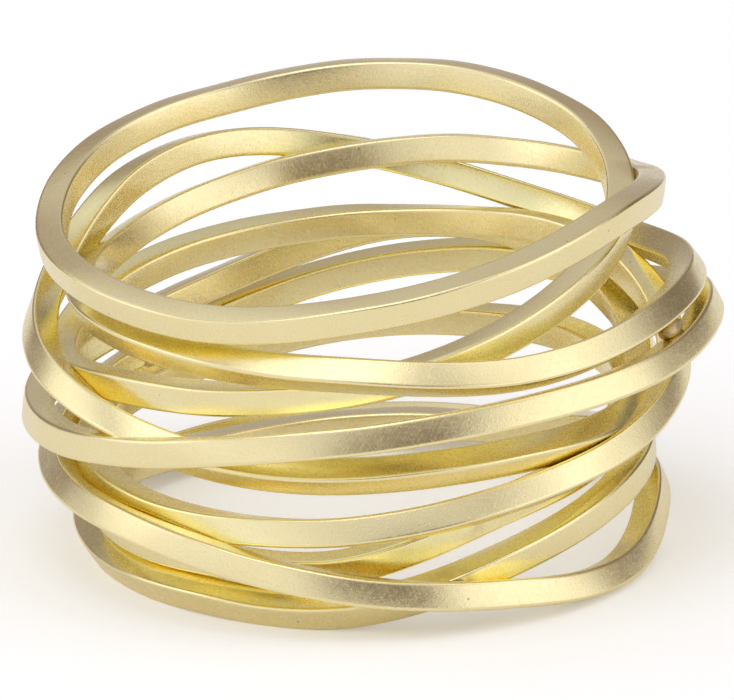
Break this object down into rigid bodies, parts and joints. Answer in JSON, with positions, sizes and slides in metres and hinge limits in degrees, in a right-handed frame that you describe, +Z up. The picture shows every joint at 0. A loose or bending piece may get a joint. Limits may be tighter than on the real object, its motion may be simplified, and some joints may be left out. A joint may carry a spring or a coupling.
{
  "type": "wound wire finger ring",
  "caption": "Wide finger ring wound from one square brass wire, its turns crossing at odd tilts and soldered together round an open finger hole.",
  "frame": {"origin": "centre of the ring's box, on the surface that the ring stands on", "axes": "+Z up, about 2 degrees off the finger hole's axis; -Y is the side seen in the picture and +X is its right"},
  "size_m": [0.0246, 0.0234, 0.0148],
  "materials": {
    "satin_brass": "pale satin brass, brushed and lightly sparkling, with brighter rubbed edges"
  },
  "bodies": {
    "root": {"wound_wire": "satin_brass"}
  },
  "joints": []
}
